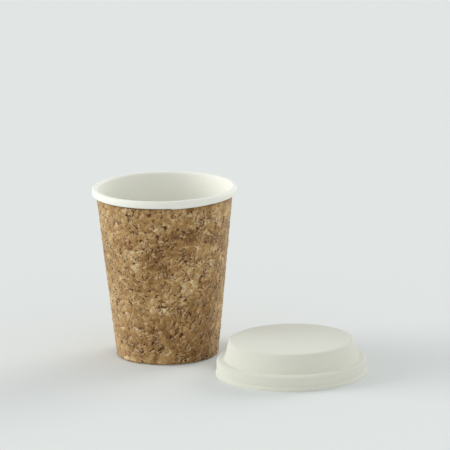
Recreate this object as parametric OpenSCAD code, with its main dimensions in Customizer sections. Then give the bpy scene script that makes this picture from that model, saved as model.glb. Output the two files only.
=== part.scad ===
// A paper coffee cup wrapped in cork, with its moulded lid lying beside it.
// The origin is the middle of the cup's foot, on the table, and +Z is up.
// Every sheet is drawn as a path through the middle of its thickness.

/* [Cup] */
// Height of the cup from the table to the top of its rim
cup_h = 95; // [80:1:120]
// Outer diameter of the rolled rim
rim_d = 80; // [74:0.5:92]
// Diameter of the wall at the table, to the middle of the sheet
foot_d = 54.8; // [48:0.2:62]
// Thickness of the coated wall sheet
paper_t = 0.35; // [0.25:0.05:0.5]
// Glue or coating film between two sheets
film = 0.03; // [0.02:0.01:0.06]

/* [Rolled rim] */
// Width of the roll, from the inside of the mouth to its outer face
roll_w = 2.9; // [2.5:0.1:3.4]
// Height of the roll
roll_h = 4.2; // [3.8:0.1:5.2]
// Clear space between the turned-in edge and the wall, at the top of the roll
curl_gap = 0.3; // [0.2:0.05:0.5]
// Clear space above the turned-in edge inside the roll
tail_gap = 1.5; // [1.3:0.1:1.8]

/* [Foot] */
// Height of the bottom disc's underside above the table
recess_h = 7.2; // [5:0.1:10]
// Thickness of the bottom sheet
bottom_t = 0.3; // [0.2:0.05:0.45]
// Bend where the bottom disc turns down, to the middle of the sheet
bottom_bend = 0.6; // [0.4:0.05:0.9]
// Space between the folded-up hem and the bottom disc
hem_gap = 1; // [0.8:0.1:2]
// Radius inside the fold at the foot
fold_in = 0.06; // [0.03:0.01:0.1]
// Space between the fold and the bottom sheet's turned-down edge
edge_gap = 0.25; // [0.1:0.05:0.8]

/* [Cork wrap] */
// Thickness of the cork sheet with its backing
cork_t = 0.6; // [0.4:0.05:1]
// Height of the cork's lower edge above the table
cork_lift = 0.5; // [0.4:0.1:2]
// Space between the cork's upper edge and the roll
cork_gap = 0.35; // [0.2:0.05:1.5]

/* [Laps] */
// Where the wall sheet's inner cut edge runs, counted round from +X
wall_lap_a = -84; // [-120:1:-60]
// Where the cork sheet's outer cut edge runs, counted round from +X
cork_lap_a = 96; // [60:1:120]
// How far round a lap takes to run out to a single sheet
lap_run = 35; // [25:1:45]
// Length over which the inner lap is pressed flat below the rim
lap_end = 1.2; // [0.6:0.1:3]

/* [Lid] */
// Height of the lid
lid_h = 18.7; // [15:0.1:24]
// Height of the ledge that sits on the rim
ledge_h = 8.2; // [7.4:0.1:10]
// Outer diameter of the flat top
lid_top_d = 68; // [60:0.5:71]
// Thickness of the lid's wall
lid_t = 0.7; // [0.5:0.05:0.9]
// Clearance between the rim and the inside of the skirt
lid_fit = 0.15; // [0.05:0.05:0.4]
// Clearance between the mouth and the drum that enters it
plug_gap = 0.4; // [0.2:0.1:1]
// How far the skirt pinches in under the rim
pinch_in = 0.45; // [0.2:0.05:0.7]
// How far the lip flares out past the skirt
lip_out = 0.55; // [0.3:0.05:1]
// Height of the straight lip at the bottom of the skirt
lip_h = 1; // [0.6:0.1:1.6]
// Rounding of the top edge, to the middle of the wall
crown_r = 1.3; // [0.8:0.1:2.5]
// Rounding of the shoulder over the rim, to the middle of the wall
shoulder_r = 1.2; // [0.8:0.1:1.4]
// Rounding in the corner between the drum and the ledge
corner_r = 0.8; // [0.6:0.1:1.2]
// Rounding of the pinch and of the lip
pinch_r = 0.7; // [0.5:0.05:0.8]

/* [Lid beside the cup] */
// Direction from the cup to the lid, counted round from +X
lid_a = -34; // [-180:1:180]
// Space on the table between the cup's foot and the lid
lid_space = 12.5; // [2:0.5:60]

/* [Hidden] */
$fn = 96;
// Largest turn between two points of a rounded corner
arc_step = 12;
// Points nearer than this are one point
same_point = 0.001;
// Extra length and turn by which one shape cuts right through another
over = 1;
over_a = 15;

// The wall leans out from the foot to the mouth
rim_r = rim_d / 2 - paper_t / 2;
mouth_r = rim_d / 2 - roll_w + paper_t / 2;
top_z = cup_h - paper_t / 2;
slope = (mouth_r - foot_d / 2) / top_z;
taper = atan(slope);

// Radius of a surface that runs beside the wall, off by this much across it
function wall_r(z, off = 0) = foot_d / 2 + z * slope + off / cos(taper);

// The roll and the edge that curls up inside it
roll_r = (roll_w - paper_t) / 2;
tail_r = mouth_r + paper_t + curl_gap;
curl_r = (rim_r - tail_r) / 2;
curl_z = cup_h - roll_h + paper_t / 2;
tail_z = cup_h - paper_t - tail_gap;

// The hem is folded up inside the turned-down edge of the bottom sheet
skirt_off = -(paper_t / 2 + film + bottom_t / 2);
hem_off = -(paper_t + bottom_t + 2 * film);
hem_z = recess_h - hem_gap;
fold_r = paper_t / 2 + fold_in;
disc_z = recess_h + bottom_t / 2;
skirt_z = paper_t + edge_gap;

// The cork lies round the outside of the wall
cork_off = paper_t / 2 + film + cork_t / 2;
cork_top = cup_h - roll_h - cork_gap;

// The lid is sized from the rim that it closes
lid_top_z = lid_h - lid_t / 2;
ledge_z = ledge_h - lid_t / 2;
crown_x = lid_top_d / 2 - lid_t / 2;
drum_x = rim_d / 2 - roll_w - plug_gap - lid_t / 2;
skirt_x = rim_d / 2 + lid_fit + lid_t / 2;
pinch_x = skirt_x - pinch_in;
lip_x = skirt_x + lip_out;
groove_z = ledge_h - lid_t - roll_h + lid_fit;
pinch_z = (groove_z + lip_h) / 2;
lid_r = lip_x + lid_t / 2;
lid_reach = wall_r(0, cork_off + cork_t / 2) + lid_space + lid_r;

function unit(v) = v / norm(v);
function turn(a) = a - 360 * round(a / 360);
function angle_of(v) = atan2(v.y, v.x);
function flat(p) = [p[0], p[1]];

// The arc that rounds corner p, on a path that comes from a and goes to b
function corner(a, p, b, r) =
    let (
        u = unit(a - p),
        w = unit(b - p),
        half = acos(u * w) / 2,
        c = p + unit(u + w) * r / sin(half),
        a0 = angle_of(p + u * r / tan(half) - c),
        sweep = turn(angle_of(p + w * r / tan(half) - c) - a0),
        n = ceil(abs(sweep) / arc_step)
    )
    [for (i = [0 : n]) c + r * [cos(a0 + sweep * i / n), sin(a0 + sweep * i / n)]];

// A path of [x, z, radius] corners, with each corner rounded to its radius
function rounded(path) =
    let (
        last = len(path) - 1,
        raw = [for (i = [0 : last]) each (path[i][2] == 0
            ? [flat(path[i])]
            : corner(flat(path[i - 1]), flat(path[i]), flat(path[i + 1]), path[i][2]))]
    )
    [for (i = [0 : len(raw) - 1]) if (i == 0 || norm(raw[i] - raw[i - 1]) > same_point) raw[i]];

// A point moved sideways by d from vertex i of a path
function beside(p, i, d) =
    let (
        last = len(p) - 1,
        u = unit(p[min(i + 1, last)] - p[min(i, last - 1)]),
        w = unit(p[max(i, 1)] - p[max(i - 1, 0)]),
        m = [-u.y - w.y, u.x + w.x]
    )
    p[i] + m * d / (1 + u * w);

// The outline of a sheet of thickness t along a path
function ribbon(p, t) = concat(
    [for (i = [0 : len(p) - 1]) beside(p, i, t / 2)],
    [for (i = [len(p) - 1 : -1 : 0]) beside(p, i, -t / 2)]
);

// A round sheet: the outline turned once about the axis
module turned_sheet(path, t) {
    rotate_extrude() polygon(ribbon(rounded(path), t));
}

// A solid cone beside the wall, between two heights
module wall_cone(z0, z1, off) {
    translate([0, 0, z0])
        cylinder(h = z1 - z0, r1 = wall_r(z0, off), r2 = wall_r(z1, off));
}

// How far the lapped surface's centre is moved, so that it runs out smoothly
function lap_shift(t) = t / cos(taper) / (1 - cos(lap_run));

// The wall sheet's inner lap: one sheet thick at the cut edge, then running out
module inner_lap() {
    face = -paper_t / 2;
    shift = lap_shift(paper_t);
    z0 = recess_h + bottom_t + film;
    z1 = top_z - roll_r;
    deep = 2 * paper_t;
    difference() {
        rotate_extrude(angle = lap_run + over_a, start = wall_lap_a) polygon([
            [wall_r(z0, face - deep), z0],
            [wall_r(z0), z0],
            [wall_r(z1), z1],
            [wall_r(z1 - lap_end, face - deep), z1 - lap_end]
        ]);
        rotate([0, 0, wall_lap_a]) translate([-shift, 0, 0])
            wall_cone(z0 - over, z1 + over, face - paper_t + shift * cos(taper));
    }
}

// The cork sheet's outer lap, made the same way on the outside
module outer_lap() {
    face = cork_off + cork_t / 2;
    shift = lap_shift(cork_t);
    high = 2 * cork_t;
    intersection() {
        rotate_extrude(angle = lap_run + over_a, start = cork_lap_a) polygon([
            [wall_r(cork_lift, cork_off), cork_lift],
            [wall_r(cork_lift, face + high), cork_lift],
            [wall_r(cork_top, face + high), cork_top],
            [wall_r(cork_top, cork_off), cork_top]
        ]);
        rotate([0, 0, cork_lap_a]) translate([shift, 0, 0])
            wall_cone(cork_lift - over, cork_top + over, face + cork_t - shift * cos(taper));
    }
}

// The side wall: one sheet, rolled out at the rim and folded in at the foot
module cup_wall() {
    color([0.93, 0.93, 0.90]) union() {
        turned_sheet([
            [wall_r(hem_z, hem_off), hem_z, 0],
            [wall_r(paper_t / 2, hem_off), paper_t / 2, fold_r],
            [wall_r(paper_t / 2), paper_t / 2, fold_r],
            [mouth_r, top_z, roll_r],
            [rim_r, top_z, roll_r],
            [rim_r, curl_z, curl_r],
            [tail_r, curl_z, curl_r],
            [tail_r, tail_z, 0]
        ], paper_t);
        inner_lap();
    }
}

// The bottom: a disc whose edge is turned down between the wall and its hem
module cup_bottom() {
    color([0.90, 0.90, 0.86]) turned_sheet([
        [0, disc_z, 0],
        [wall_r(disc_z, skirt_off), disc_z, bottom_bend],
        [wall_r(skirt_z, skirt_off), skirt_z, 0]
    ], bottom_t);
}

// The cork sheet, wrapped round the wall and lapped at the back
module cork_sleeve() {
    color([0.62, 0.47, 0.32]) union() {
        turned_sheet([
            [wall_r(cork_lift, cork_off), cork_lift, 0],
            [wall_r(cork_top, cork_off), cork_top, 0]
        ], cork_t);
        outer_lap();
    }
}

// The lid: one moulded shell with a flat top, a ledge and a skirt that grips the rim
module lid() {
    color([0.84, 0.84, 0.79]) rotate([0, 0, lid_a]) translate([lid_reach, 0, 0])
        turned_sheet([
            [0, lid_top_z, 0],
            [crown_x, lid_top_z, crown_r],
            [drum_x, ledge_z, corner_r],
            [skirt_x, ledge_z, shoulder_r],
            [skirt_x, groove_z, pinch_r],
            [pinch_x, pinch_z, pinch_r],
            [lip_x, lip_h, pinch_r],
            [lip_x, 0, 0]
        ], lid_t);
}

cup_wall();
cup_bottom();
cork_sleeve();
lid();
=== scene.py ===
# %% [markdown]
# A paper coffee cup wrapped in cork, with its lid beside it.
# The construction comes from the packed model, and this lesson gives each sheet its finish.
# The real cup is made of three sheets: a coated paper wall, a paper bottom and a cork wrap.
# The lid is one moulded shell. Every piece is rebuilt here as the sheet or shell that it is,
# with the same sizes, so it lies exactly where the packed model has it.

# %% Load the packed model
from functools import reduce
from math import acos, atan, atan2, ceil, cos, degrees, pi, radians, sin, tan

import bmesh
import bpy
from mathutils import Matrix, Vector


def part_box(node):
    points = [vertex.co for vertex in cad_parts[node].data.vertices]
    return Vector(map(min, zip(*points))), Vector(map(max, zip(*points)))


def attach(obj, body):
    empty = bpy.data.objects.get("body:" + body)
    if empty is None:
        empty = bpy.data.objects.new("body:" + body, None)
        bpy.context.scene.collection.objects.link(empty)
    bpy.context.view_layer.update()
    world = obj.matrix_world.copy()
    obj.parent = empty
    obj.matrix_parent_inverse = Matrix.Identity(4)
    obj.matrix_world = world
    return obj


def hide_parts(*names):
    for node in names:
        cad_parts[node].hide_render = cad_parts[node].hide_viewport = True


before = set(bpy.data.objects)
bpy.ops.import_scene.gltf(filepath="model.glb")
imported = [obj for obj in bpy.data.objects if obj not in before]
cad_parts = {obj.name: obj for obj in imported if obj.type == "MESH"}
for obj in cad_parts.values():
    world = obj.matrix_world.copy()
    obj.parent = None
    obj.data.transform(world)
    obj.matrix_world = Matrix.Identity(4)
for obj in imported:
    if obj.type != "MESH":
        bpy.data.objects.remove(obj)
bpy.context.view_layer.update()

print("nodes:", sorted(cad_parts))

# %% [markdown]
# The sizes that set the cup's shape, in metres. The rim and the height are read from the frame.
# A sheet is too thin to measure there, so its thickness is named here.
# A wall that leans has a slope, and everything that runs beside it is worked out from that one line.

# %% Sizes of the cup
MM = 0.001
wall_low, wall_high = (Vector(corner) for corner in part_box("cup_wall"))
CUP_H = wall_high.z
RIM_R = (wall_high.x - wall_low.x) / 2
FOOT_R = 27.4 * MM
PAPER_T = 0.35 * MM
ROLL_W = 2.9 * MM
ROLL_H = 4.2 * MM

MOUTH_R = RIM_R - ROLL_W + PAPER_T / 2
TOP_Z = CUP_H - PAPER_T / 2
SLOPE = (MOUTH_R - FOOT_R) / TOP_Z
TAPER = atan(SLOPE)


def wall_radius(z, off=0.0):
    """Radius at height z of a surface that runs beside the wall, off by this much across it."""
    return FOOT_R + z * SLOPE + off / cos(TAPER)


print(f"cup {CUP_H / MM:.1f} mm high, rim {2 * RIM_R / MM:.1f} mm across")
print(f"the wall leans {degrees(TAPER):.2f} degrees")

# %% [markdown]
# The camera. A long lens stands low in front of the cup, a little rolled, as the photograph was taken.
# It could be moved by eye until the view fits, but then nobody could say where it stands.
# Here its place follows from four facts: how far away it is, how high it looks down, its roll,
# and the pixel on which the middle of the cup's foot falls in a frame of 450 by 450.

# %% Camera at the photograph's viewing angle
FRAME_PX = 450
FOCAL_PX = 4000
FOOT_PX = (167.8, 352.3)
CAMERA_AWAY = 2.230
CAMERA_UP = radians(13.10)
CAMERA_ROLL = radians(1.03)
CAMERA_REACH = 50.0
SENSOR_MM = 36.0


def photo_camera():
    """A camera that looks along its own back axis and is turned about it by the roll."""
    back = Vector((0, -cos(CAMERA_UP), sin(CAMERA_UP)))
    right = Vector((1, 0, 0))
    up = back.cross(right)
    turn = Matrix.Rotation(-CAMERA_ROLL, 2)
    aside = turn @ Vector((FOOT_PX[0] - FRAME_PX / 2, FRAME_PX / 2 - FOOT_PX[1])) / FOCAL_PX
    place = (back - right * aside.x - up * aside.y) * CAMERA_AWAY
    right_rolled = right * cos(CAMERA_ROLL) - up * sin(CAMERA_ROLL)
    up_rolled = right * sin(CAMERA_ROLL) + up * cos(CAMERA_ROLL)
    axes = Matrix((right_rolled, up_rolled, back)).transposed()
    data = bpy.data.cameras.new("photo_camera")
    data.sensor_width = SENSOR_MM
    data.lens = SENSOR_MM * FOCAL_PX / FRAME_PX
    data.clip_end = CAMERA_REACH
    camera = bpy.data.objects.new("photo_camera", data)
    camera.matrix_world = Matrix.Translation(place) @ axes.to_4x4()
    bpy.context.scene.collection.objects.link(camera)
    return camera


bpy.context.scene.camera = photo_camera()
bpy.context.scene.view_settings.view_transform = "Standard"
print(f"lens {bpy.context.scene.camera.data.lens:.0f} mm, at", bpy.context.scene.camera.location)

# %% [markdown]
# Materials and geometry are both node trees, and the cork needs the same pattern in both.
# A small helper lets a tree be written as sums and lookups. Its functions work in either kind
# of tree, because noise, Voronoi, math and mapping nodes are the same in both.


# %% A helper that writes node trees
class Tree:
    """Writes nodes into a shader tree or a geometry tree."""

    def __init__(self, tree):
        self.tree = tree

    def add(self, kind, inputs=None, **settings):
        node = self.tree.nodes.new(kind)
        for name, value in settings.items():
            setattr(node, name, value)
        for key, value in (inputs or {}).items():
            self.feed(node.inputs[key], value)
        return node

    def feed(self, socket, value):
        if isinstance(value, bpy.types.NodeSocket):
            self.tree.links.new(value, socket)
        else:
            socket.default_value = value

    def math(self, operation, *values, clamp=False):
        node = self.add("ShaderNodeMath", dict(enumerate(values)), operation=operation)
        node.use_clamp = clamp
        return node.outputs[0]

    def plus(self, *values):
        return reduce(lambda first, second: self.math("ADD", first, second), values)

    def times(self, *values):
        return reduce(lambda first, second: self.math("MULTIPLY", first, second), values)

    def largest(self, *values):
        return reduce(lambda first, second: self.math("MAXIMUM", first, second), values)

    def minus(self, first, second):
        return self.math("SUBTRACT", first, second)

    def vector(self, operation, *values):
        """Lengths and dot products are numbers, which come out of the second socket."""
        node = self.add("ShaderNodeVectorMath", dict(enumerate(values)), operation=operation)
        return node.outputs[1 if operation in ("LENGTH", "DOT_PRODUCT") else 0]

    def scale(self, vector, factor):
        node = self.add("ShaderNodeVectorMath", {0: vector, "Scale": factor}, operation="SCALE")
        return node.outputs[0]

    def remap(self, value, low, high, to_low=0.0, to_high=1.0, smooth=True):
        """Carries low to high over to another range, and holds the value at its ends."""
        node = self.add("ShaderNodeMapRange", {
            "Value": value, "From Min": low, "From Max": high, "To Min": to_low, "To Max": to_high,
        })
        node.interpolation_type = "SMOOTHSTEP" if smooth else "LINEAR"
        return node.outputs[0]

    def fall(self, value, start, end):
        """One at the start and nothing from the end on."""
        return self.remap(value, start, end, 1.0, 0.0)

    def hump(self, value, start, peak, end):
        """Nothing at the start and at the end, and one at the peak between them."""
        return self.times(self.remap(value, start, peak), self.fall(value, peak, end))

    def noise(self, at, per_mm, detail=2.0, roughness=0.5):
        """Outputs: a value from 0 to 1, and a colour of three such values."""
        return self.add("ShaderNodeTexNoise", {
            "Vector": at, "Scale": per_mm, "Detail": detail, "Roughness": roughness,
        }).outputs

    def voronoi(self, at, per_mm, feature="F1"):
        """Outputs: a distance, the cell's own colour, and the cell's middle."""
        return self.add("ShaderNodeTexVoronoi", {"Vector": at, "Scale": per_mm}, feature=feature).outputs

    def parts(self, vector):
        return self.add("ShaderNodeSeparateXYZ", {0: vector}).outputs

    def join(self, x, y, z):
        return self.add("ShaderNodeCombineXYZ", {0: x, 1: y, 2: z}).outputs[0]


print("node helper:", [name for name in vars(Tree) if not name.startswith("_")])

# %% [markdown]
# Agglomerated cork is made of bark granules pressed into a block with a binder and sliced thin.
# The slice cuts each granule at random, so large granules and small chips show as flat flakes in a
# few tones. The blade lifts the edge of a flake that it meets first, which stands up as a lip,
# and tears a crack open behind the flake. All flakes face one way, so the lip is painted pale,
# partly as a painted highlight, and the crack dark, partly as the flake's painted shadow.
# It could be one noise texture, but that has no flakes. Here each Voronoi cell is a flake, and the
# cell's own random colour sets the flake's tone, its height and the way it leans.

# %% Flakes of cork: granules and chips
HALF = (0.5, 0.5, 0.5)
BLADE = (0.93, 0.36, 0.0)

# Per kind: cells along a millimetre, the millimetres over which the raised half turns into the torn
# half, where a lip starts, peaks and ends as shares of a cell from its edge in, and the climb per mm.
GRANULES = {"per_mm": 0.24, "turnover": 0.5, "lip": (0.03, 0.10, 0.24), "rise": 0.25}
CHIPS = {"per_mm": 0.47, "turnover": 0.25, "lip": (0.05, 0.14, 0.30), "rise": 0.5}


def flakes(t, at, kind, width, here):
    """Fields of one kind of flake, with cracks of this width, where the sheet is broken here."""
    cell = t.voronoi(at, kind["per_mm"])
    edge = t.voronoi(at, kind["per_mm"], "DISTANCE_TO_EDGE")[0]
    across = t.vector("SUBTRACT", at, cell[2])
    lead = t.vector("DOT_PRODUCT", across, BLADE)
    leading = t.remap(lead, -kind["turnover"], kind["turnover"])
    tone, lift, _ = t.parts(cell[1])
    # All flakes face one way: the pale lip on the leading side is partly a painted highlight, the dark
    # crack on the trailing side partly a painted shadow.
    return {
        "tone": tone,
        "lift": lift,
        "tilt": t.vector("DOT_PRODUCT", across, t.vector("SUBTRACT", cell[1], HALF)),
        "rise": t.times(lead, kind["rise"]),
        "crack": t.times(t.fall(edge, 0.0, width), t.minus(1.0, leading), here),
        "lip": t.times(t.hump(edge, *kind["lip"]), leading, here),
    }


print("flakes:", [f"{1 / kind['per_mm']:.1f} mm across" for kind in (GRANULES, CHIPS)])

# %% [markdown]
# Three smaller things lie among the flakes. Thin cracks curl through them, long pale strands lie on the
# face with a groove along one side that is painted dark as the strand's shadow, and bark has fallen out of
# small deep pits.
# A line that wanders could be drawn as a curve, but the sheet has hundreds of them. A noise crosses
# its middle value along just such lines, so a narrow band of values round the middle draws them all.

# %% Curls, strands and pits
# Widths and the places of the shadowed gaps are distances from a noise's middle value, and a pit's sizes
# are shares of its cell.
CURL = {"per_mm": 0.36, "width": 0.30}
STRAND = {"per_mm": 0.15, "width": (0.010, 0.035), "gap": (-0.09, -0.055, -0.03)}
STRAND_PLACES = {"per_mm": 0.17, "from": (0.57, 0.63)}
PIT = {"per_mm": 0.29, "ragged_mm": 1.6, "cells": (0.74, 1.0), "size": (0.02, 0.18), "rim": (-0.06, 0.04)}


def curls(t, at, width, here):
    """Thin cracks along the lines on which a noise passes its middle value."""
    swirl = t.minus(t.noise(at, CURL["per_mm"], 1.0)[0], 0.5)
    return t.times(t.fall(t.math("ABSOLUTE", swirl), 0.0, t.times(width, CURL["width"])), here)


def strands(t, at, fray):
    """The strands, and the groove along one side of each, painted dark as the strand's shadow."""
    bend = t.minus(t.noise(t.vector("ADD", at, fray), STRAND["per_mm"], 0.0)[0], 0.5)
    here = t.remap(t.noise(at, STRAND_PLACES["per_mm"], 0.0)[0], *STRAND_PLACES["from"])
    strand = t.times(t.fall(t.math("ABSOLUTE", bend), *STRAND["width"]), here)
    # The second field is a painted shadow beside each strand.
    return strand, t.times(t.hump(bend, *STRAND["gap"]), here)


def pits(t, at, fray):
    """One pit in each cell, tiny in most cells and larger in about a quarter of them."""
    spot = t.voronoi(t.vector("ADD", at, t.scale(fray, PIT["ragged_mm"])), PIT["per_mm"])
    size = t.remap(t.parts(spot[1])[0], *PIT["cells"], *PIT["size"], smooth=False)
    return t.fall(t.minus(spot[0], size), *PIT["rim"])


print(f"pits: {PIT['per_mm'] ** 2 * 100:.0f} cells for them on a square centimetre")

# %% [markdown]
# The sheet is not alike all over: it is looser and more broken in some places than in others.
# The outlines of its flakes are ragged, because granules are torn from bark and not sawn.
# Finer cells would not do that. Two warps do: one bends the cells and a smaller one frays them.
# Then the recipe puts everything together. It could be written once for the mesh and once for
# the colour, but one recipe for both keeps every crack of the relief under its own dark line.

# %% Where the sheet is ragged, loose and broken
# Each pair for cracks and curls is the noise value where they begin and the one where they are full.
# LOOSE swings those values up and down over wide stretches of the sheet.
DRIFT = {"per_mm": 0.38, "mm": 4.5}
FRAY = {"per_mm": 1.3, "mm": 0.8}
LOOSE = {"per_mm": 0.13, "swing": (0.5, -0.27)}
BROKEN = {"per_mm": 0.30, "cracks": (0.50, 0.59), "curls": (0.46, 0.60)}
CHIPPED = {"per_mm": 0.36, "cracks": (0.53, 0.62)}
CRACK = {"per_mm": 0.6, "from": (0.38, 0.60), "width": (0.06, 0.28)}


def ragged_places(t, at):
    """The places of the flakes with their outlines made ragged, and the finer of the two warps."""
    drift, fray = (
        t.vector("SUBTRACT", t.noise(at, warp["per_mm"])[1], HALF) for warp in (DRIFT, FRAY))
    moved = t.vector("ADD", at, t.scale(drift, DRIFT["mm"]))
    return t.vector("ADD", moved, t.scale(fray, FRAY["mm"])), fray


def broken_places(t, at):
    """How much the granules are cracked, the chips are cracked and the face is curled."""
    loose = t.math("MULTIPLY_ADD", t.noise(at, LOOSE["per_mm"], 1.0)[0], *LOOSE["swing"])
    broken = t.noise(at, BROKEN["per_mm"])
    chipped = t.noise(at, CHIPPED["per_mm"], 1.0)[0]
    return (t.remap(t.plus(broken[0], loose), *BROKEN["cracks"]),
            t.remap(t.plus(chipped, loose), *CHIPPED["cracks"]),
            t.remap(t.plus(broken[1], loose), *BROKEN["curls"]))


print(f"cracks are {CRACK['width'][0]} to {CRACK['width'][1]} of a cell wide")

# %% The cork recipe, shared by the relief and the material
# Strengths are shares of a full crack or lip. The fine noise is given by its detail and roughness.
# Patches are cut from a noise at one depth of the block, and another depth would place them elsewhere.
STRENGTHS = {"curl": 0.5, "gap": 0.6, "strand": 0.70}
FIBRE_PER_MM = 2.4
FINE_NOISE = (3.0, 0.6)
PATCH_PER_MM = 0.055
PATCH_DEPTH_MM = (0.0, 0.0, 448.0)


def cork_recipe(t, at):
    """Fields of sliced cork at a point of the flat sheet, given in millimetres."""
    ragged, fray = ragged_places(t, at)
    granules_here, chips_here, curls_here = broken_places(t, at)
    width = t.remap(t.noise(at, CRACK["per_mm"], 1.0)[0], *CRACK["from"], *CRACK["width"])
    granule = flakes(t, ragged, GRANULES, width, granules_here)
    chip = flakes(t, ragged, CHIPS, width, chips_here)
    curl = curls(t, ragged, width, curls_here)
    strand, gap = strands(t, at, fray)
    # The cracks also carry painted shadows behind the flakes and beside the strands, the lips painted
    # highlights, and the ledges painted shade across each flake.
    return {
        "granule": granule["tone"], "lift": granule["lift"], "tilt": granule["tilt"],
        "chip": chip["tone"], "chip_tilt": chip["tilt"],
        "ledge": t.plus(granule["rise"], chip["rise"]),
        "crack": t.largest(granule["crack"], chip["crack"],
                           t.times(curl, STRENGTHS["curl"]), t.times(gap, STRENGTHS["gap"])),
        "lip": t.largest(granule["lip"], chip["lip"], t.times(strand, STRENGTHS["strand"])),
        "pit": pits(t, at, fray),
        "fibre": t.noise(at, FIBRE_PER_MM, *FINE_NOISE)[0],
        "patch": t.noise(t.vector("ADD", at, PATCH_DEPTH_MM), PATCH_PER_MM, 3.0)[0],
    }


HEIGHTS_MM = {
    "lift": 0.10, "tilt": 0.19, "chip_tilt": 0.09, "ledge": 0.13, "fibre": 0.05, "lip": 0.06,
    "crack": -0.30, "pit": -0.30,
}


def cork_height(t, cork):
    """Height of the sliced face in millimetres, from the same fields."""
    middle = -0.5 * (HEIGHTS_MM["lift"] + HEIGHTS_MM["fibre"])
    return t.plus(middle, *(t.times(cork[field], height) for field, height in HEIGHTS_MM.items()))


print("heights of the cut face in mm:", HEIGHTS_MM)

# %% [markdown]
# The shapes that follow a rule are grown by Geometry Nodes. Each tree gets named inputs for its sizes.
# The tree could stay on the piece as a live modifier, but what is handed on is plain mesh,
# so it is run once, its result is kept and the modifier goes.


# %% Helpers for geometry trees
def named_tree(name, sizes):
    """A geometry tree with one named input for each size, and the output that a modifier needs."""
    tree = bpy.data.node_groups.new(name, "GeometryNodeTree")
    tree.interface.new_socket("Geometry", in_out="OUTPUT", socket_type="NodeSocketGeometry")
    for label, value in sizes.items():
        kind = {int: "NodeSocketInt", float: "NodeSocketFloat"}.get(type(value), "NodeSocketMaterial")
        tree.interface.new_socket(label, in_out="INPUT", socket_type=kind)
    inputs = tree.nodes.new("NodeGroupInput").outputs
    return Tree(tree), inputs, tree.nodes.new("NodeGroupOutput").inputs[0]


def finish_tree(t, geometry, material, out):
    """Every tree ends in real mesh with its material set."""
    real = t.add("GeometryNodeRealizeInstances", {0: geometry}).outputs[0]
    dressed = t.add("GeometryNodeSetMaterial", {"Geometry": real, "Material": material})
    t.feed(out, dressed.outputs[0])


def grow(name, t, sizes):
    """Runs a geometry tree once with these sizes, and keeps the result as a plain mesh object."""
    made = bpy.data.objects.new(name, bpy.data.meshes.new(name))
    bpy.context.scene.collection.objects.link(made)
    modifier = made.modifiers.new("shape", "NODES")
    modifier.node_group = t.tree
    for item in t.tree.interface.items_tree:
        if item.in_out == "INPUT":
            modifier[item.identifier] = sizes[item.name]
    graph = bpy.context.evaluated_depsgraph_get()
    mesh = bpy.data.meshes.new_from_object(
        made.evaluated_get(graph), preserve_all_data_layers=True, depsgraph=graph)
    made.modifiers.clear()
    made.data = mesh
    mesh.name = name
    print(f"{name}: {len(mesh.polygons)} faces from a tree of {len(t.tree.nodes)} nodes")
    return made


# %% [markdown]
# The cork sheet is wrapped round the cup and glued over its own edge at the back.
# It could be displaced with a modifier, but then the lap, the cut edges and the flat pattern would
# be lost. A Geometry Nodes tree does what the wrapping does: a grid stands for the flat sheet, and its
# columns go round the cone and once more over the start. Its rows begin on the inside at the foot,
# run up the outside, and close over the top edge and down the inside to where they began.
# Each point remembers where it was on the flat sheet, for the material.

# %% Geometry Nodes tree: a sheet wrapped round a cone
# Rows are counted on the outside, and the grid has four lines more than rows: one that ends the
# outside, and three on the inside, of which the first and the last meet and are welded.
WELD = 0.001 * MM


def wrapped_sheet_tree(sizes):
    t, size, out = named_tree("wrapped sheet", sizes)
    rows, lean, thickness = size["Rows"], size["Lean"], size["Thickness"]
    grid = t.add("GeometryNodeMeshGrid", {
        "Size X": 1.0, "Size Y": 1.0, "Vertices X": size["Columns"], "Vertices Y": t.plus(rows, 4.0),
    })
    spot = t.parts(t.add("GeometryNodeInputPosition").outputs[0])
    along = t.plus(spot[0], 0.5)
    row = t.math("ROUND", t.times(t.plus(spot[1], 0.5), t.plus(rows, 3.0)))
    before_last = t.math("LESS_THAN", row, t.plus(rows, 2.5))
    climb = t.times(t.math("DIVIDE", t.minus(row, 1.0), rows, clamp=True), before_last)
    outside = t.times(t.math("GREATER_THAN", row, 0.5), t.math("LESS_THAN", row, t.plus(rows, 1.5)))

    turned = t.times(along, t.plus(2 * pi, size["Overlap"]))
    heading = t.minus(t.plus(size["Cut edge"], size["Overlap"]), turned)
    z = t.plus(size["Low"], t.times(climb, t.minus(size["Top"], size["Low"])))
    over = t.remap(turned, t.minus(2 * pi, size["Climb"]), 2 * pi)
    foot = t.plus(size["Foot radius"], t.times(z, t.math("TANGENT", lean)))

    slant = t.math("DIVIDE", foot, t.math("SINE", lean))
    fan = t.times(turned, t.math("SINE", lean))
    depth = t.times(t.minus(outside, 1.0), thickness)
    flat = t.join(t.times(slant, t.math("SINE", fan)), t.times(slant, t.math("COSINE", fan)), depth)
    relief_mm = cork_height(t, cork_recipe(t, t.scale(flat, 1 / MM)))

    face = t.plus(thickness, t.times(relief_mm, t.times(size["Relief"], MM)))
    lift = t.plus(t.times(over, thickness), t.times(outside, face))
    away = t.join(t.math("COSINE", heading), t.math("SINE", heading), 0.0)
    radius = t.plus(foot, t.times(lift, t.math("COSINE", lean)))
    level = t.minus(z, t.times(lift, t.math("SINE", lean)))
    place = t.vector("ADD", t.scale(away, radius), t.join(0.0, 0.0, level))

    kept = t.add("GeometryNodeStoreNamedAttribute", {
        "Geometry": grid.outputs[0], "Name": "sheet", "Value": flat,
    }, data_type="FLOAT_VECTOR", domain="POINT")
    shaped = t.add("GeometryNodeSetPosition", {"Geometry": kept.outputs[0], "Position": place})
    closed = t.add("GeometryNodeMergeByDistance", {"Geometry": shaped.outputs[0], "Distance": WELD})
    finish_tree(t, closed.outputs[0], size["Finish"], out)
    return t


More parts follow.
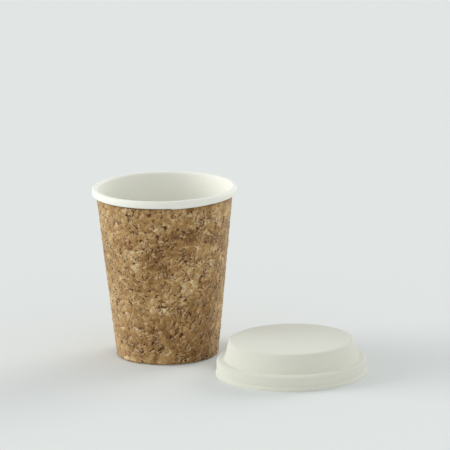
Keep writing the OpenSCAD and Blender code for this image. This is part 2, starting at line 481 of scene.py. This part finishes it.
# %% Wrap the cork sheet round the cup
FILM = 0.03 * MM
CORK_T = 0.6 * MM
CORK_LOW = 0.5 * MM
CORK_TOP = CUP_H - ROLL_H - 0.35 * MM
CORK_CREASE = radians(62)
CORK_SIZES = {
    "Columns": 540, "Rows": 176,
    "Foot radius": wall_radius(0.0, PAPER_T / 2 + FILM), "Lean": TAPER, "Thickness": CORK_T,
    "Low": CORK_LOW, "Top": CORK_TOP,
    "Cut edge": radians(96), "Overlap": radians(14), "Climb": radians(16), "Relief": 0.6,
    "Finish": bpy.data.materials.new("cork_finish"),
}

cork_wrap = grow("cork_wrap", wrapped_sheet_tree(CORK_SIZES), CORK_SIZES)

# %% [markdown]
# The grid closes over the sheet's long edges, but the two short ends where it was cut are still open.
# They could be left, as they hardly show, but a sheet is a solid thing, so they are closed.
# An edge that a blade has cut is crisp, so sharp corners keep their own shading.


# %% Close the cork's cut ends
def close_ends(made):
    """Closes the sheet's two cut ends and turns every face outwards."""
    work = bmesh.new()
    work.from_mesh(made.data)
    bmesh.ops.remove_doubles(work, verts=work.verts, dist=WELD / 10)
    bmesh.ops.holes_fill(work, edges=[edge for edge in work.edges if edge.is_boundary])
    bmesh.ops.recalc_face_normals(work, faces=work.faces)
    work.to_mesh(made.data)
    left_open = sum(edge.is_boundary for edge in work.edges)
    work.free()
    return left_open


print("cork wrap: open edges", close_ends(cork_wrap))
cork_wrap.data.shade_smooth()
cork_wrap.data.set_sharp_from_angle(angle=CORK_CREASE)

# %% [markdown]
# Colours are written as a screen shows them, because they are judged on a screen, and turned into
# the linear values that shaders work in. Three more helpers place a mix, a colour ramp
# and a material's own tree.


# %% Helpers for colours and shader trees
def srgb(red, green, blue):
    """A colour as a screen shows it, from 0 to 255, turned into the linear values that shaders use."""
    def linear(part):
        part /= 255
        return part / 12.92 if part <= 0.04045 else ((part + 0.055) / 1.055) ** 2.4
    return (linear(red), linear(green), linear(blue), 1.0)


def mix(t, factor, first, second):
    """Sockets 6 and 7 of the node are its colours, and output 2 is the mixed colour."""
    node = t.add("ShaderNodeMix", data_type="RGBA")
    for index, value in ((0, factor), (6, first), (7, second)):
        t.feed(node.inputs[index], value)
    return node.outputs[2]


def ramp(t, value, stops):
    """A colour ramp through stops given as (place, colour)."""
    node = t.add("ShaderNodeValToRGB", {0: value})
    band = node.color_ramp
    while len(band.elements) < len(stops):
        band.elements.new(0.5)
    for element, (place, colour) in zip(band.elements, stops):
        element.position = place
        element.color = colour
    return node.outputs[0]


def shader_tree(material):
    """A material's tree, and the sockets of its Principled BSDF."""
    material.use_nodes = True
    return Tree(material.node_tree), material.node_tree.nodes["Principled BSDF"].inputs


print("middle grey in linear light:", round(srgb(128, 128, 128)[0], 3))

# %% [markdown]
# The finish of the cork. Sliced cork is matt, and golden tan to brown. Each granule and chip takes
# its own tone from its cell and fibre varies it. Each flake is also painted lighter towards its lifted
# edge and darker towards the other, as painted shade, and broad patches of a slow noise are darker.
# One ramp turns the tone into colour. Lifted lips and strands are paler, partly as painted highlights.
# Cracks and pits are dark and fully rough, and the cracks behind flakes and beside strands are also
# painted shadows. A band along the top and bottom edges is painted dark as the shadow under the roll
# and at the foot.
# A sheen stands for the fuzz that makes a matt surface pale where it turns away.
# A bump from the same heights could do without the relief, but the outline would be smooth then.
# Here it only sharpens what is finer than the faces of the mesh.
# The pattern reads the place on the flat sheet, so it breaks off at the lap as the real one does.

# %% Cork material
# Finishes laid over the bark are given by their strength and their colour.
# The ledge share is painted shade: each flake is lighter towards its lifted edge and darker towards the
# other.
TONE_SHARES = {"granule": 0.24, "chip": 0.20, "fibre": 0.34, "ledge": 0.10}
PATCHES = {"from": (0.43, 0.62), "shade": 0.20}
BARK_TONES = [
    (0.02, srgb(108, 72, 35)), (0.16, srgb(139, 102, 57)), (0.31, srgb(166, 127, 78)),
    (0.45, srgb(187, 151, 99)), (0.64, srgb(231, 206, 163)),
]
# Lips and strands are paler, partly as a painted highlight.
PALE_LIP_AND_HIGHLIGHT = (0.52, srgb(238, 210, 170))
# Cracks and pits are dark; behind the flakes and beside the strands the dark is also painted shadow.
OPEN_BARK_AND_SHADOW = (1.06, srgb(78, 34, 6))
# A band along the top and bottom edges is painted shadow: under the roll and at the foot.
EDGE_SHADOW = (0.7, srgb(92, 56, 24))
EDGE_SHADOW_MM = 1.1
NOISE_SPAN = (0.3, 0.7)
CORK_ROUGHNESS = (0.52, 0.72)


def edge_shadows(t, at):
    """How near a point of the flat sheet, in millimetres, is to the sheet's top or bottom edge, where
    shadow is painted.
    """
    x, y, _ = t.parts(at)
    slant = t.vector("LENGTH", t.join(x, y, 0.0))
    foot = CORK_SIZES["Foot radius"]
    bottom, top = ((foot + z * tan(TAPER)) / sin(TAPER) / MM for z in (CORK_LOW, CORK_TOP))
    return t.largest(t.fall(slant, bottom, bottom + EDGE_SHADOW_MM), t.remap(slant, top - EDGE_SHADOW_MM, top))


def dress_cork(material):
    t, face = shader_tree(material)
    at = t.scale(t.add("ShaderNodeAttribute", attribute_name="sheet").outputs["Vector"], 1 / MM)
    cork = cork_recipe(t, at)
    tone = t.plus(*(t.times(cork[field], share) for field, share in TONE_SHARES.items()))
    patch = t.remap(cork["patch"], *PATCHES["from"])
    bark = ramp(t, t.minus(tone, t.times(patch, PATCHES["shade"])), BARK_TONES)
    # Painted highlight, together with paler cork: the lips and strands.
    bark = mix(t, t.times(cork["lip"], PALE_LIP_AND_HIGHLIGHT[0]), bark, PALE_LIP_AND_HIGHLIGHT[1])
    # Dark cracks and pits, with painted shadow behind the flakes and beside the strands.
    open_bark_and_shadow = t.math("MULTIPLY", t.largest(cork["crack"], cork["pit"]), OPEN_BARK_AND_SHADOW[0], clamp=True)
    bark = mix(t, open_bark_and_shadow, bark, OPEN_BARK_AND_SHADOW[1])
    # Painted shadow along the top edge under the roll and the bottom edge at the foot.
    bark = mix(t, t.times(edge_shadows(t, at), EDGE_SHADOW[0]), bark, EDGE_SHADOW[1])
    t.feed(face["Base Color"], bark)
    t.feed(face["Roughness"], t.largest(t.remap(cork["fibre"], *NOISE_SPAN, *CORK_ROUGHNESS), open_bark_and_shadow))
    face["Specular IOR Level"].default_value = 0.20
    face["Sheen Weight"].default_value = 0.80
    face["Sheen Roughness"].default_value = 0.4
    face["Sheen Tint"].default_value = srgb(255, 230, 186)
    bump = t.add("ShaderNodeBump", {
        "Strength": 0.8, "Distance": MM, "Height": cork_height(t, cork),
    })
    t.feed(face["Normal"], bump.outputs[0])


dress_cork(CORK_SIZES["Finish"])
print("cork material nodes:", len(CORK_SIZES["Finish"].node_tree.nodes))

# %% [markdown]
# Paper and plastic both have a fine surface grain that is too small to model: fibres under the
# coating on one, the texture of the mould on the other. Each material could have a noise of its own,
# but what they share is better built once. One node group gives both, with the grain's size and
# depth as named inputs. It puts out a value for tone and a normal for light.


# %% Shader group: fine grain
def fine_grain_group():
    group = bpy.data.node_groups.new("fine grain", "ShaderNodeTree")
    for label in ("Per mm", "Depth mm", "Stretch"):
        group.interface.new_socket(label, in_out="INPUT", socket_type="NodeSocketFloat")
    group.interface.new_socket("Value", in_out="OUTPUT", socket_type="NodeSocketFloat")
    group.interface.new_socket("Normal", in_out="OUTPUT", socket_type="NodeSocketVector")
    t = Tree(group)
    given = group.nodes.new("NodeGroupInput").outputs
    at = t.scale(t.add("ShaderNodeTexCoord").outputs["Object"], 1 / MM)
    stretched = t.vector("MULTIPLY", at, t.join(1.0, 1.0, given["Stretch"]))
    grain = t.noise(stretched, given["Per mm"], *FINE_NOISE)[0]
    bump = t.add("ShaderNodeBump", {
        "Strength": 1.0, "Distance": t.times(given["Depth mm"], MM), "Height": grain,
    })
    out = group.nodes.new("NodeGroupOutput").inputs
    t.feed(out["Value"], grain)
    t.feed(out["Normal"], bump.outputs[0])
    return group


FINE_GRAIN = fine_grain_group()
print("fine grain group nodes:", len(FINE_GRAIN.nodes))

# %% [markdown]
# The coated paper is white with a satin face, its cut edge is raw, a little grey and quite matt,
# and the lid is a warm white plastic with a matt mould texture.
# A flat colour would do from afar, but close up the light on it would be too even,
# so tone and roughness vary a little with the grain.

# %% Paper and lid materials
ROUGHNESS_SWING = 0.04


def grained_material(name, pale, deep, roughness, specular, per_mm, depth_mm, stretch=1.0):
    """A plain surface whose tone and light vary a little with its grain."""
    material = bpy.data.materials.new(name)
    t, face = shader_tree(material)
    grain = t.add("ShaderNodeGroup", node_tree=FINE_GRAIN)
    for label, amount in (("Per mm", per_mm), ("Depth mm", depth_mm), ("Stretch", stretch)):
        grain.inputs[label].default_value = amount
    value = grain.outputs["Value"]
    rough = (roughness - ROUGHNESS_SWING, roughness + ROUGHNESS_SWING)
    t.feed(face["Base Color"], mix(t, t.remap(value, *NOISE_SPAN), deep, pale))
    t.feed(face["Roughness"], t.remap(value, *NOISE_SPAN, *rough))
    t.feed(face["Normal"], grain.outputs["Normal"])
    face["Specular IOR Level"].default_value = specular
    return material


COATED_PAPER = grained_material(
    "coated_paper_finish", pale=srgb(239, 239, 229), deep=srgb(236, 236, 225),
    roughness=0.50, specular=0.25, per_mm=1.6, depth_mm=0.012, stretch=0.5)
RAW_EDGE = grained_material(
    "raw_paper_edge", pale=srgb(226, 221, 206), deep=srgb(206, 199, 182),
    roughness=0.8, specular=0.2, per_mm=5.0, depth_mm=0.02)
LID_PLASTIC = grained_material(
    "lid_plastic_finish", pale=srgb(233, 233, 222), deep=srgb(230, 230, 218),
    roughness=0.66, specular=0.10, per_mm=0.9, depth_mm=0.012)
shader_tree(LID_PLASTIC)[1]["Diffuse Roughness"].default_value = 1.0
print("materials:", [material.name for material in bpy.data.materials])

# %% [markdown]
# The paper wall is one sheet of constant thickness. Its section is a path: up from the hem's edge,
# round the fold at the foot, up the wall, over the roll and down to the edge curled up inside it.
# A lathe in any program could turn a drawn outline, but drawing both faces by hand makes the sheet
# thick here and thin there. So the path is drawn once, its corners are rounded,
# and both faces are set off from it by half the thickness.

# %% Helpers: a rounded path, and the sheet that follows it
ARC_STEP = radians(9)
LONGEST_RUN = 6 * MM


def corner_arc(before, point, after, radius):
    """The arc that rounds one corner of a path."""
    u = (before - point).normalized()
    w = (after - point).normalized()
    half = acos(max(-1.0, min(1.0, u.dot(w)))) / 2
    centre = point + (u + w).normalized() * (radius / sin(half))
    start = point + u * (radius / tan(half)) - centre
    end = point + w * (radius / tan(half)) - centre
    sweep = atan2(start.x * end.y - start.y * end.x, start.dot(end))
    count = ceil(abs(sweep) / ARC_STEP)
    return [centre + Matrix.Rotation(sweep * i / count, 2) @ start for i in range(count + 1)]


def rounded_path(corners):
    """Points of a path given as (x, z, radius) corners."""
    spots = [Vector(corner[:2]) for corner in corners]
    points = []
    for i, (_, _, radius) in enumerate(corners):
        bend = corner_arc(spots[i - 1], spots[i], spots[i + 1], radius) if radius else [spots[i]]
        points += [point for point in bend if not points or (point - points[-1]).length > WELD]
    return points


def sideways(points):
    """For each point of a path, the step to its left that keeps a sheet's thickness even."""
    steps = []
    for i, point in enumerate(points):
        ahead = points[min(i + 1, len(points) - 1)] - points[min(i, len(points) - 2)]
        behind = points[max(i, 1)] - points[max(i - 1, 0)]
        u, w = ahead.normalized(), behind.normalized()
        steps.append(Vector((-u.y - w.y, u.x + w.x)) / (1 + u.dot(w)))
    return steps


def cut_in_short_runs(points):
    """Adds points to long straight runs, so that a turned sheet has even faces."""
    out = [points[0]]
    for point in points[1:]:
        start = out[-1]
        runs = ceil((point - start).length / LONGEST_RUN)
        out += [start.lerp(point, (k + 1) / runs) for k in range(runs)]
    return out


tried = rounded_path([(0.0, 0.0, 0), (10 * MM, 0.0, 2 * MM), (10 * MM, 10 * MM, 0)])
print(f"one corner rounded to 2 mm: {len(tried)} points, in short runs {len(cut_in_short_runs(tried))}")

# %% [markdown]
# A wall is glued where its edges lap, and there it is two sheets thick. The lap could be a second
# piece laid on the first, but it is the same sheet coming round again. So the turned sheet gets
# one sheet more at its cut edge, and the extra runs out smoothly as the paper lies down.

# %% Turn a sheet about its axis, with a lap where its edges are glued
SHEET_CREASE = radians(40)


def turns(columns, run):
    """Angles round the axis with the lap's share at each. With a lap, the cut edge ends the turn."""
    angles = [2 * pi * k / columns for k in range(columns)]
    fade = [max(0.0, (cos(angle) - cos(run)) / (1 - cos(run))) if angle < run else 0.0 for angle in angles]
    return list(zip(angles, fade)) + ([(0.0, 0.0)] if run else [])


def turned_sheet(name, corners, thickness, columns, material, lap=None, centre=(0.0, 0.0)):
    """lap gives the cut edge's angle, how far the lap runs, and its share of a sheet at each point."""
    start, run, share = lap or (0.0, 0.0, lambda point: 0.0)
    points = cut_in_short_runs(rounded_path(corners))
    steps = sideways(points)
    shares = [share(point) for point in points]
    half = thickness / 2
    work = bmesh.new()
    rings = []
    for angle, extra in turns(columns, run):
        away = Vector((cos(start + angle), sin(start + angle)))
        near = [point + step * (half + thickness * extra * part)
                for point, step, part in zip(points, steps, shares)]
        far = [point - step * half for point, step in zip(points, steps)]
        rings.append([work.verts.new((away.x * spot.x + centre[0], away.y * spot.x + centre[1], spot.y))
                      for spot in near + far[::-1]])
    size = len(rings[0])
    for k, ring in enumerate(rings):
        after = rings[(k + 1) % len(rings)]
        for i in range(size):
            face = work.faces.new((ring[i], after[i], after[(i + 1) % size], ring[(i + 1) % size]))
            face.material_index = 1 if lap and k == len(rings) - 1 else 0
    bmesh.ops.remove_doubles(work, verts=work.verts, dist=2 * WELD)
    bmesh.ops.recalc_face_normals(work, faces=work.faces)
    mesh = bpy.data.meshes.new(name)
    work.to_mesh(mesh)
    work.free()
    mesh.materials.append(material)
    if lap:
        mesh.materials.append(RAW_EDGE)
    mesh.shade_smooth()
    mesh.set_sharp_from_angle(angle=SHEET_CREASE)
    made = bpy.data.objects.new(name, mesh)
    bpy.context.scene.collection.objects.link(made)
    print(name, len(mesh.polygons), "faces")
    return made


# %% [markdown]
# The wall's section. The roll is 2.9 mm wide and 4.2 mm high with a flat upright band, as the
# photograph shows it, and the foot is folded round the edge of the bottom disc.
# The lap is one sheet thick at its cut edge. The rim press flattens it to about a third there.

# %% The paper wall
BOTTOM_T = 0.3 * MM
RECESS_H = 7.2 * MM
HEM_SHORT = 1.0 * MM
FOLD_R = PAPER_T / 2 + 0.06 * MM
HEM_OFF = -(PAPER_T + BOTTOM_T + 2 * FILM)
HEM_Z = RECESS_H - HEM_SHORT
DISC_Z = RECESS_H + BOTTOM_T / 2

CURL_GAP = 0.3 * MM
TAIL_SHORT = 1.5 * MM
LAP_ANGLE = radians(-84)
LAP_RUN = radians(35)
LAP_RISE = 1.5 * MM
ROLLED_LAP = 0.35

roll_top = TOP_Z - PAPER_T * ROLLED_LAP
roll_out = RIM_R - PAPER_T / 2
roll_r = (ROLL_W - PAPER_T) / 2
tail_x = MOUTH_R + PAPER_T + CURL_GAP
tail_z = CUP_H - PAPER_T - TAIL_SHORT
curl_r = (roll_out - tail_x) / 2
curl_z = CUP_H - ROLL_H + PAPER_T / 2


def wall_lap_share(point):
    """How much of the lap's thickness shows: none by the bottom disc, a third on the pressed roll."""
    above_disc = min(1.0, max(0.0, (point.y - DISC_Z - BOTTOM_T) / LAP_RISE))
    in_roll = min(1.0, max(0.0, (point.y - (roll_top - 3 * roll_r)) / (2 * roll_r)))
    if point.x < wall_radius(point.y) - PAPER_T / 2:
        return 0.0
    return above_disc * (1 + (ROLLED_LAP - 1) * in_roll)


paper_wall = turned_sheet("paper_wall", [
    (wall_radius(HEM_Z, HEM_OFF), HEM_Z, 0),
    (wall_radius(PAPER_T / 2, HEM_OFF), PAPER_T / 2, FOLD_R),
    (wall_radius(PAPER_T / 2), PAPER_T / 2, FOLD_R),
    (MOUTH_R, roll_top, roll_r),
    (roll_out, roll_top, roll_r),
    (roll_out, curl_z, curl_r),
    (tail_x, curl_z, curl_r),
    (tail_x, tail_z, 0),
], PAPER_T, 256, COATED_PAPER, lap=(LAP_ANGLE, LAP_RUN, wall_lap_share))

# %% [markdown]
# The bottom is a paper disc. The press that turns its edge down leaves it a little dished,
# so it is drawn with a shallow sag and not as a flat plate.

# %% The bottom disc
SAG = 0.35 * MM
DISH_X, DISH_SAG, DISH_R = FOOT_R * 0.5, SAG * 0.8, 40 * MM
FLAT_X, FLAT_R = FOOT_R * 0.86, 2 * MM
TURN_DOWN_R = 0.6 * MM
SKIRT_GAP = 0.25 * MM
SKIRT_OFF = -(PAPER_T / 2 + FILM + BOTTOM_T / 2)
bottom_disc = turned_sheet("bottom_disc", [
    (0.0, DISC_Z - SAG, 0),
    (DISH_X, DISC_Z - DISH_SAG, DISH_R),
    (FLAT_X, DISC_Z, FLAT_R),
    (wall_radius(DISC_Z, SKIRT_OFF), DISC_Z, TURN_DOWN_R),
    (wall_radius(PAPER_T, SKIRT_OFF), PAPER_T + SKIRT_GAP, 0),
], BOTTOM_T, 192, COATED_PAPER)

# %% [markdown]
# Underneath, the hem carries the marks of the toothed wheel that pressed it against the bottom's edge:
# a ring of short upright ridges. A ring of like things is work for Geometry Nodes: one ridge is
# placed on every point of a circle, turned to face the axis and leaned with the wall.


# %% The ridges pressed into the hem
def ridge_ring_tree(sizes):
    t, size, out = named_tree("ring of ridges", sizes)
    ring = t.add("GeometryNodeMeshCircle", {"Vertices": size["Count"], "Radius": size["Radius"]})
    x, y, _ = t.parts(t.add("GeometryNodeInputPosition").outputs[0])
    raised = t.add("GeometryNodeSetPosition", {
        "Geometry": ring.outputs[0], "Offset": t.join(0.0, 0.0, size["Level"]),
    })
    ridge = t.add("GeometryNodeMeshUVSphere", {"Segments": 8, "Rings": 7, "Radius": 1.0})
    placed = t.add("GeometryNodeInstanceOnPoints", {
        "Points": raised.outputs[0], "Instance": ridge.outputs[0],
        "Rotation": t.join(0.0, size["Lean"], t.math("ARCTAN2", y, x)),
        "Scale": t.join(size["Proud"], size["Half width"], size["Half length"]),
    })
    real = t.add("GeometryNodeRealizeInstances", {0: placed.outputs[0]})
    smooth = t.add("GeometryNodeSetShadeSmooth", {0: real.outputs[0]})
    finish_tree(t, smooth.outputs[0], size["Finish"], out)
    return t


HEM_MID = 3.2 * MM
RIDGES = {
    "Count": 90, "Radius": wall_radius(HEM_MID, HEM_OFF - PAPER_T / 2), "Level": HEM_MID, "Lean": TAPER,
    "Proud": 0.09 * MM, "Half width": 0.32 * MM, "Half length": 1.9 * MM, "Finish": COATED_PAPER,
}
hem_ridges = grow("hem_ridges", ridge_ring_tree(RIDGES), RIDGES)

# %% [markdown]
# The lid is a shell of thin plastic, formed over a mould. Two outlines could be drawn, one for its
# outside and one for its inside, but a formed sheet is equally thick nearly everywhere. So it is
# drawn like the paper: one path from the middle of the flat top, down the drum, over the ledge that
# sits on a rim, down the groove and out to the flared lip. It stands rim-down, where the frame has it.

# %% The lid
LID_T = 0.7 * MM
LID_TOP_R = 34 * MM
LID_FIT = 0.15 * MM
PLUG_FIT = 0.4 * MM
LEDGE_H = 8.2 * MM
PINCH = 0.45 * MM
LIP_OUT = 0.55 * MM
LIP_H = 1.0 * MM
CROWN_R, DRUM_FOOT_R, SHOULDER_R, SKIRT_R = 1.3 * MM, 0.8 * MM, 1.2 * MM, 0.7 * MM

lid_low, lid_high = (Vector(corner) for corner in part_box("lid"))
lid_middle = (lid_low + lid_high) / 2
groove_z = LEDGE_H - LID_T - ROLL_H + LID_FIT
skirt_x = RIM_R + LID_FIT + LID_T / 2
lid_shell = turned_sheet("lid_shell", [
    (0.0, lid_high.z - LID_T / 2, 0),
    (LID_TOP_R - LID_T / 2, lid_high.z - LID_T / 2, CROWN_R),
    (RIM_R - ROLL_W - PLUG_FIT - LID_T / 2, LEDGE_H - LID_T / 2, DRUM_FOOT_R),
    (skirt_x, LEDGE_H - LID_T / 2, SHOULDER_R),
    (skirt_x, groove_z, SKIRT_R),
    (skirt_x - PINCH, (groove_z + LIP_H) / 2, SKIRT_R),
    (skirt_x + LIP_OUT, LIP_H, SKIRT_R),
    (skirt_x + LIP_OUT, 0.0, 0),
], LID_T, 256, LID_PLASTIC, centre=(lid_middle.x, lid_middle.y))

# %% [markdown]
# Each piece rides on the one body of this part, stands for the CAD node that it replaces,
# and names the record's material slot that it takes its finish from.

# %% Hand the pieces to the frame
PIECES = [
    (paper_wall, "cup_wall", "coated_paper"),
    (bottom_disc, "cup_bottom", "coated_paper"),
    (hem_ridges, None, "coated_paper"),
    (cork_wrap, "cork_sleeve", "cork"),
    (lid_shell, "lid", "lid_plastic"),
]
for piece, node, slot in PIECES:
    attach(piece, "root")
    if node:
        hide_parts(node)
print("pieces handed over:", [piece.name for piece, _, _ in PIECES])

# %% [markdown]
# The stage is a plain pale floor. It could curve up behind the object as in a studio,
# but a flat one that is wide enough has no edge in any view. It is not part of the object.

# %% The floor
FLOOR_HALF = 6.0
floor_mesh = bpy.data.meshes.new("floor")
floor_mesh.from_pydata(
    [(-FLOOR_HALF, -FLOOR_HALF, 0), (FLOOR_HALF, -FLOOR_HALF, 0),
     (FLOOR_HALF, FLOOR_HALF, 0), (-FLOOR_HALF, FLOOR_HALF, 0)], [], [(0, 1, 2, 3)])
floor = bpy.data.objects.new("floor", floor_mesh)
bpy.context.scene.collection.objects.link(floor)
floor_finish = bpy.data.materials.new("floor")
_, floor_face = shader_tree(floor_finish)
floor_face["Base Color"].default_value = srgb(222, 225, 223)
floor_face["Roughness"].default_value = 0.9
floor_face["Specular IOR Level"].default_value = 0.0
floor_mesh.materials.append(floor_finish)
print("floor:", 2 * FLOOR_HALF, "m square")

# %% [markdown]
# The light comes softly from two large windows, both a little behind the cup: a strong one on the
# left and a weaker one on the right. Area lamps could stand for the windows, but the floor close
# to them would burn out in a side view. A sun lamp with a wide angle casts the same soft shadow,
# and its light is even all over the floor.
# The world fills the shadows, a little brighter from the sides than from above, as pale walls do.
# The levels are plain: a colour in full light renders about as written.

# %% Lamps and world
# The walls are as bright all the way up to WALLS_END, the sine of an angle above the floor,
# and from there the light falls to that of the ceiling.
WINDOW_WIDTH = radians(38)
WALLS, CEILING = 0.98, 0.60
WALLS_END = 0.35


def soft_sun(name, heading, height, strength):
    """heading is the side that the light comes from, seen from above, and height is above the floor."""
    data = bpy.data.lights.new(name, "SUN")
    data.angle = WINDOW_WIDTH
    data.energy = strength
    lamp = bpy.data.objects.new(name, data)
    source = Vector((cos(heading) * cos(height), sin(heading) * cos(height), sin(height)))
    lamp.location = source
    lamp.rotation_mode = "QUATERNION"
    lamp.rotation_quaternion = (-source).to_track_quat("-Z", "Y")
    bpy.context.scene.collection.objects.link(lamp)
    print(f"{name}: strength {strength}, {degrees(height):.0f} degrees up")


soft_sun("window_left", heading=radians(171), height=radians(20), strength=1.80)
soft_sun("window_right", heading=radians(43), height=radians(23), strength=1.10)

world = bpy.data.worlds.new("soft room")
bpy.context.scene.world = world
world.use_nodes = True
room = world.node_tree.nodes["Background"].inputs
room["Color"].default_value = srgb(243, 245, 246)
sky = Tree(world.node_tree)
up = sky.parts(sky.add("ShaderNodeTexCoord").outputs["Generated"])[2]
sky.feed(room["Strength"], sky.remap(sky.math("ABSOLUTE", up), WALLS_END, 1.0, WALLS, CEILING))

# %% [markdown]
